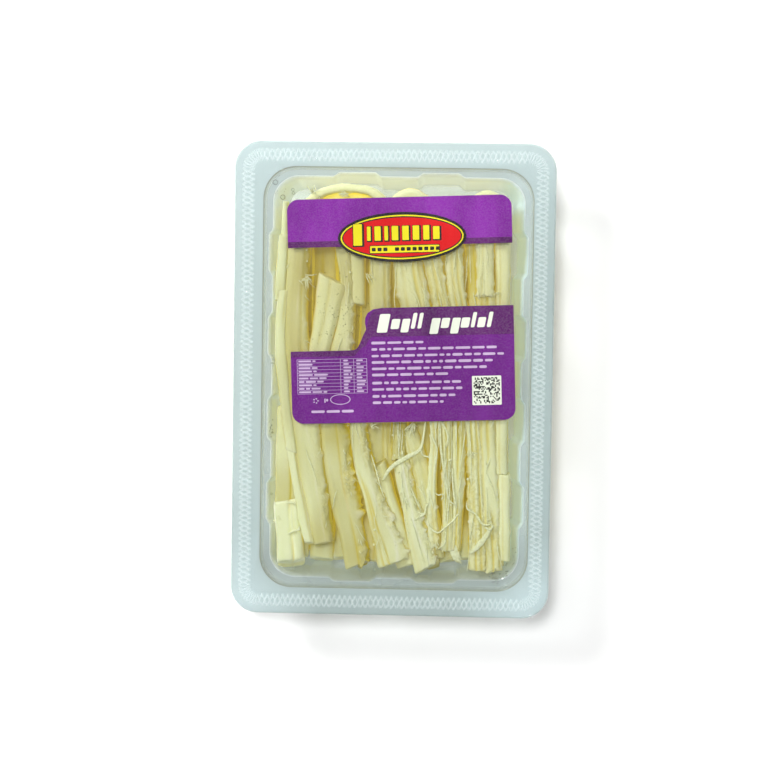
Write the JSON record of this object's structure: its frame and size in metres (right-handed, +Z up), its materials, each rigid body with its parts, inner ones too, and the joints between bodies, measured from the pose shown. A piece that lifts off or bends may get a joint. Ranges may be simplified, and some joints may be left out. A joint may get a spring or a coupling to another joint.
{
  "type": "sealed tray of string cheese",
  "caption": "Film-sealed clear oblong tray with fluted walls, a square clear printed label on its lid film and a folded bundle of pulled string cheese inside.",
  "frame": {"origin": "under the middle of the tray's rim, on the surface the tray stands on", "axes": "+Y along the pack's length towards the end with the peel tab, +X to the right seen from above, +Z up"},
  "size_m": [0.1368, 0.2, 0.0349],
  "materials": {
    "clear_plastic": "clear, glossy, slightly cloudy",
    "clear_film": "clear, glossy",
    "clear_label": "clear, glossy",
    "cheese": "pale yellow, moist, softly fibrous",
    "purple_print": "flat colour under gloss",
    "red_print": "flat colour under gloss"
  },
  "bodies": {
    "root": {"tray": "clear_plastic", "cheese_bundle": "cheese", "lid_film": "clear_film", "label": "clear_label", "label_header": "purple_print", "label_panel": "purple_print", "label_badge": "red_print"}
  },
  "joints": []
}
